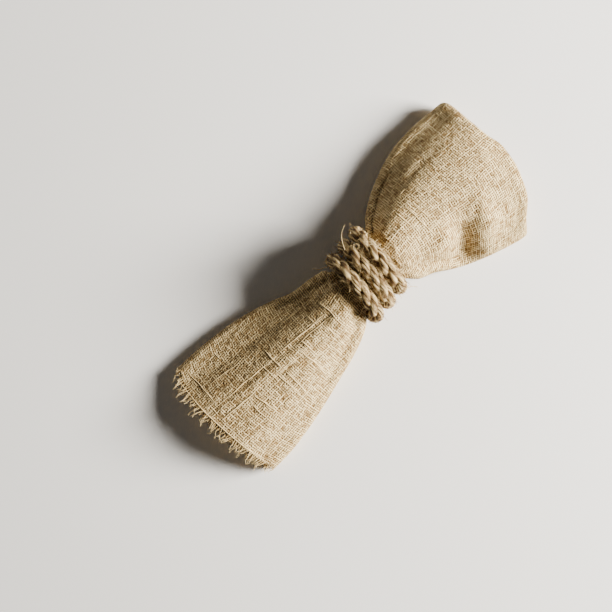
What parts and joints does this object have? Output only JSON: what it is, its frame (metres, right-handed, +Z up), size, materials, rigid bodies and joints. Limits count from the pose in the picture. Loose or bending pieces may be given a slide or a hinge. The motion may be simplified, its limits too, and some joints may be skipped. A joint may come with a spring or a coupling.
{
  "type": "folded napkin in a rope ring",
  "caption": "Cloth napkin with frayed edges, folded and rolled flat, drawn through a ring of coiled rope so that both ends fan out.",
  "frame": {"origin": "on the resting surface, under the middle of the part's bounding box", "axes": "+X along the napkin towards its folded end, +Y across it, +Z up from the resting surface"},
  "size_m": [0.2484, 0.0989, 0.042],
  "materials": {
    "cloth": "matt, open slubby weave",
    "rope": "matt twisted plant fibre"
  },
  "bodies": {
    "root": {"napkin": "cloth", "fringe": "cloth", "rope_ring": "rope"}
  },
  "joints": []
}
